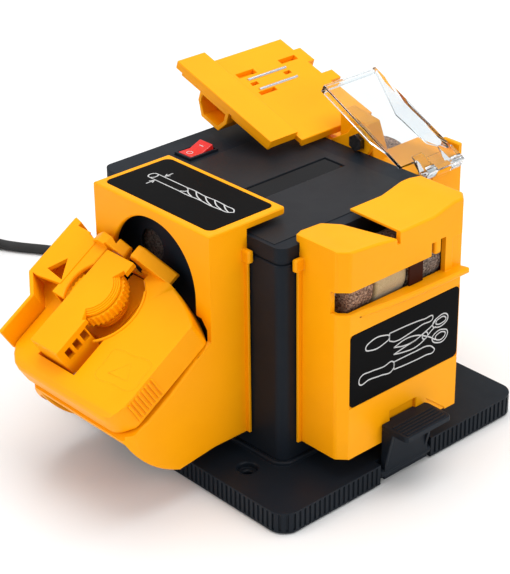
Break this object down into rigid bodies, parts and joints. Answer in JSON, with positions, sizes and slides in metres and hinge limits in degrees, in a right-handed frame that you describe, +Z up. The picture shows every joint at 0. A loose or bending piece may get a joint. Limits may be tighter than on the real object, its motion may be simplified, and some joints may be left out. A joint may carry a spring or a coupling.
{
  "type": "drill bit sharpener",
  "caption": "Motorised bench sharpener with an angled drill clamp head, a slotted knife and scissor station, a tilted chisel tray and a clear shield, on a screw-down base.",
  "frame": {"origin": "centre of the four bench screw holes on the resting plane, straight below the motor's axis", "axes": "+X to the knife station, +Y to the chisel station (the drill head faces -Y), +Z up"},
  "size_m": [0.4815, 0.26, 0.176],
  "materials": {
    "orange_plastic": "satin moulded",
    "black_plastic": "fine-textured moulded",
    "label_black": "printed label",
    "dark_window": "gloss",
    "red_plastic": "gloss",
    "clear_plastic": "clear",
    "grey_grit": "bonded abrasive grit",
    "brown_grit": "bonded abrasive grit",
    "felt": "pressed felt",
    "steel": "brushed",
    "dark_steel": "blackened",
    "motor_grey": "satin",
    "magnet": "sintered",
    "copper": "bright",
    "laminations": "stacked",
    "white_plastic": "moulded",
    "rubber": "moulded"
  },
  "bodies": {
    "machine": {"base_plate": "black_plastic", "rubber_feet": "rubber", "body_housing": "black_plastic", "housing_screws": "steel", "body_lid": "black_plastic", "lid_inlay": "dark_window", "switch_housing": "black_plastic", "motor_mount": "black_plastic", "motor_strap": "steel", "motor_can": "motor_grey", "front_end_cap": "steel", "rear_end_cap": "steel", "field_magnets": "magnet", "front_bearing": "steel", "rear_bearing": "steel", "wall_bearing": "steel", "drive_belt": "rubber", "spindle_brackets": "steel", "drill_wheel_guard": "black_plastic", "drill_station": "orange_plastic", "drill_label": "label_black", "head_pivot_pin": "steel", "knife_station": "orange_plastic", "knife_label": "label_black", "chisel_station": "orange_plastic", "tray_pivot_bolt": "dark_steel", "shield_pin": "steel", "latch_pins": "steel", "strain_relief": "rubber", "cord_tube": "rubber", "cord_coil": "rubber", "mains_plug": "rubber", "plug_pins": "steel"},
    "rotor": {"motor_shaft": "steel", "armature_core": "laminations", "commutator": "copper", "cooling_fan": "white_plastic", "drill_wheel": "grey_grit", "chisel_wheel": "brown_grit", "drive_pulley": "steel"},
    "knife_rotor": {"knife_spindle": "steel", "coarse_knife_wheel": "brown_grit", "felt_knife_wheel": "felt", "fine_knife_wheel": "grey_grit", "driven_pulley": "steel"},
    "rocker": {"rocker_button": "red_plastic"},
    "head": {"drill_head": "orange_plastic"},
    "clamp": {"clamp_bar": "orange_plastic"},
    "thumb": {"thumb_wheel": "orange_plastic"},
    "arm": {"tray_arm": "orange_plastic"},
    "tray": {"chisel_tray": "orange_plastic", "guide_rods": "steel"},
    "shield": {"clear_shield": "clear_plastic"},
    "knife_clip": {"knife_latch": "black_plastic"},
    "drill_clip": {"drill_latch": "black_plastic"},
    "chisel_clip": {"chisel_latch": "black_plastic"}
  },
  "joints": [
    {"name": "rotor_spin", "type": "hinge", "parent": "machine", "child": "rotor", "pos_m": [0, 0, 0.104], "axis": [0, 1, 0], "continuous": true},
    {"name": "knife_spin", "type": "hinge", "parent": "machine", "child": "knife_rotor", "pos_m": [0.0827, 0, 0.1155], "axis": [0, 1, 0], "continuous": true},
    {"name": "rocker_tip", "type": "hinge", "parent": "machine", "child": "rocker", "pos_m": [-0.0505, -0.008, 0.138], "axis": [1, 0, 0], "range_deg": [-20, 0]},
    {"name": "head_swing", "type": "hinge", "parent": "machine", "child": "head", "pos_m": [0, -0.13813, 0.07257], "axis": [0, -0.5388, 0.8425], "range_deg": [-5, 5]},
    {"name": "clamp_slide", "type": "slide", "parent": "head", "child": "clamp", "axis": [0, -0.5388, 0.8425], "range_m": [-0.003, 0]},
    {"name": "thumb_turn", "type": "hinge", "parent": "clamp", "child": "thumb", "pos_m": [-0.0155, -0.10402, 0.09439], "axis": [0, -0.5388, 0.8425], "range_deg": [-540, 0]},
    {"name": "arm_tilt", "type": "hinge", "parent": "machine", "child": "arm", "pos_m": [0.01, 0.0597, 0.145], "axis": [0, 1, 0], "range_deg": [-1, 12]},
    {"name": "tray_slide", "type": "slide", "parent": "arm", "child": "tray", "axis": [0, 1, 0], "range_m": [-0.007, 0.007]},
    {"name": "shield_lift", "type": "hinge", "parent": "machine", "child": "shield", "pos_m": [0.0492, 0.0825, 0.1335], "axis": [0, 1, 0], "range_deg": [0, 75]},
    {"name": "knife_clip_swing", "type": "hinge", "parent": "machine", "child": "knife_clip", "pos_m": [0.1038, 0, 0.006], "axis": [0, 1, 0], "range_deg": [0, 12], "stiffness_Nm_per_rad": 0.6},
    {"name": "drill_clip_swing", "type": "hinge", "parent": "machine", "child": "drill_clip", "pos_m": [0, -0.0878, 0.006], "axis": [1, 0, 0], "range_deg": [0, 12], "stiffness_Nm_per_rad": 0.6},
    {"name": "chisel_clip_swing", "type": "hinge", "parent": "machine", "child": "chisel_clip", "pos_m": [0, 0.0878, 0.006], "axis": [-1, 0, 0], "range_deg": [0, 12], "stiffness_Nm_per_rad": 0.6}
  ],
  "couplings": [
    {"joint": "knife_spin", "follows": "rotor_spin", "ratio": 1},
    {"joint": "clamp_slide", "follows": "thumb_turn", "m_per_rad": 0.000318}
  ]
}
